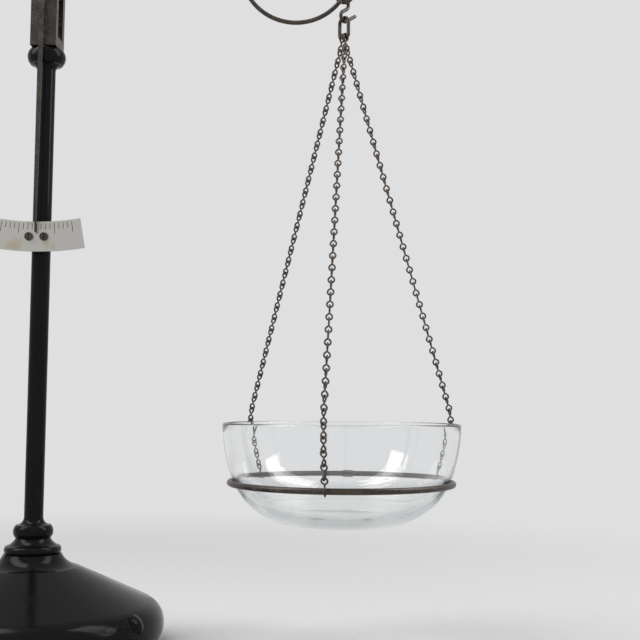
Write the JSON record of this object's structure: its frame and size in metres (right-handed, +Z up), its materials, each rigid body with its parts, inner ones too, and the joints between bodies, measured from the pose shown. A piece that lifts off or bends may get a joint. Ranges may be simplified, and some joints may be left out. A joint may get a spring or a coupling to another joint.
{
  "type": "apothecary scale",
  "caption": "Equal-arm apothecary scale: swan-neck beam on a column with a round black base, glass bowls in wire rings hung by chains from hooks.",
  "frame": {"origin": "middle of the base's foot, on the table", "axes": "+X along the beam towards the pictured pan, +Z up, -Y towards the side with the pointer"},
  "size_m": [0.453, 0.139, 0.373],
  "materials": {
    "black_japan": "gloss black japan",
    "dark_steel": "oxidised dark brown-grey",
    "bright_steel": "ground",
    "silvered_plate": "silvered, dull",
    "glass": "clear polished"
  },
  "bodies": {
    "stand": {"base": "black_japan", "base_studs": "black_japan", "column_collar": "black_japan", "column": "black_japan", "column_washer": "bright_steel", "column_nut": "bright_steel", "fork": "dark_steel", "fork_nut": "dark_steel", "bearing_plates": "bright_steel", "index_clamp": "dark_steel", "index_plate": "silvered_plate", "index_screws": "dark_steel", "clamp_screw": "dark_steel"},
    "beam": {"beam": "dark_steel", "knife_edge": "bright_steel", "pointer": "dark_steel", "pointer_nut": "dark_steel"},
    "right_hook": {"right_hook": "dark_steel"},
    "right_ring": {"right_suspension_ring": "dark_steel"},
    "right_pan": {"right_chain_1": "dark_steel", "right_chain_2": "dark_steel", "right_chain_3": "dark_steel", "right_pan_ring": "dark_steel"},
    "right_bowl": {"right_bowl": "glass"},
    "left_hook": {"left_hook": "dark_steel"},
    "left_ring": {"left_suspension_ring": "dark_steel"},
    "left_pan": {"left_chain_1": "dark_steel", "left_chain_2": "dark_steel", "left_chain_3": "dark_steel", "left_pan_ring": "dark_steel"},
    "left_bowl": {"left_bowl": "glass"}
  },
  "joints": [
    {"name": "beam_tilt", "type": "hinge", "parent": "stand", "child": "beam", "pos_m": [0, 0, 0.3575], "axis": [0, 1, 0], "range_deg": [-8, 8]},
    {"name": "right_hook_swing", "type": "hinge", "parent": "beam", "child": "right_hook", "pos_m": [0.163, 0, 0.3551], "axis": [0, 1, 0], "range_deg": [-8.5, 8.5]},
    {"name": "right_ring_swing", "type": "hinge", "parent": "right_hook", "child": "right_ring", "pos_m": [0.163, 0, 0.33892], "axis": [0.6428, 0.766, 0], "range_deg": [-8, 8]},
    {"name": "right_pan_swing", "type": "hinge", "parent": "right_ring", "child": "right_pan", "pos_m": [0.163, 0, 0.33115], "axis": [-0.766, 0.6428, 0], "range_deg": [-8, 8]},
    {"name": "right_bowl_turn", "type": "hinge", "parent": "right_pan", "child": "right_bowl", "pos_m": [0.163, 0, 0.11995], "axis": [0, 0, 1], "continuous": true},
    {"name": "left_hook_swing", "type": "hinge", "parent": "beam", "child": "left_hook", "pos_m": [-0.163, 0, 0.3551], "axis": [0, 1, 0], "range_deg": [-8.5, 8.5]},
    {"name": "left_ring_swing", "type": "hinge", "parent": "left_hook", "child": "left_ring", "pos_m": [-0.163, 0, 0.33892], "axis": [-0.6428, -0.766, 0], "range_deg": [-8, 8]},
    {"name": "left_pan_swing", "type": "hinge", "parent": "left_ring", "child": "left_pan", "pos_m": [-0.163, 0, 0.33115], "axis": [0.766, -0.6428, 0], "range_deg": [-8, 8]},
    {"name": "left_bowl_turn", "type": "hinge", "parent": "left_pan", "child": "left_bowl", "pos_m": [-0.163, 0, 0.11995], "axis": [0, 0, 1], "continuous": true}
  ],
  "couplings": [
    {"joint": "right_hook_swing", "follows": "beam_tilt", "ratio": -1},
    {"joint": "left_hook_swing", "follows": "beam_tilt", "ratio": -1}
  ]
}
